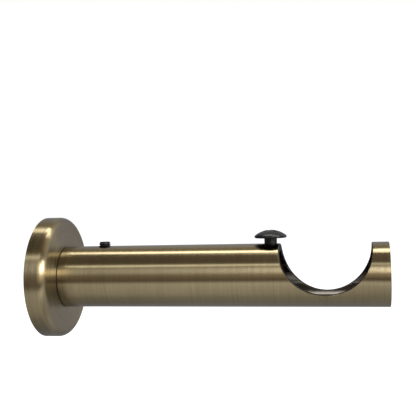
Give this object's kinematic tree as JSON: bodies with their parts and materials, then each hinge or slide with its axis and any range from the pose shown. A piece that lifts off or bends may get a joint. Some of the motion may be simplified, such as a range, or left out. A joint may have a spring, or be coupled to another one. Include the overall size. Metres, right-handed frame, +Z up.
{
  "type": "curtain pole bracket",
  "caption": "Wall bracket for a curtain pole: a round rose carries a short barrel with a saddle cup across its top, and a mushroom-headed screw holds the pole down.",
  "frame": {"origin": "centre of the rose's back, on the wall plane", "axes": "+X out from the wall along the barrel, +Z up, Y along the curtain pole"},
  "size_m": [0.111, 0.0394, 0.0394],
  "materials": {
    "antique_brass": "brushed around the axis, antique tone, satin lacquer",
    "black_steel": "black zinc plate, satin",
    "plated_steel": "bright zinc plate"
  },
  "bodies": {
    "bracket": {"wall_rose": "antique_brass", "wall_plate": "plated_steel", "spigot": "plated_steel", "barrel": "antique_brass", "end_cap": "antique_brass", "grub_screw": "black_steel"},
    "pole_screw": {"pole_screw": "black_steel"}
  },
  "joints": [
    {"name": "pole_screw_travel", "type": "slide", "parent": "bracket", "child": "pole_screw", "axis": [0, 0, 1], "range_m": [-0.0016, 0.007]}
  ]
}
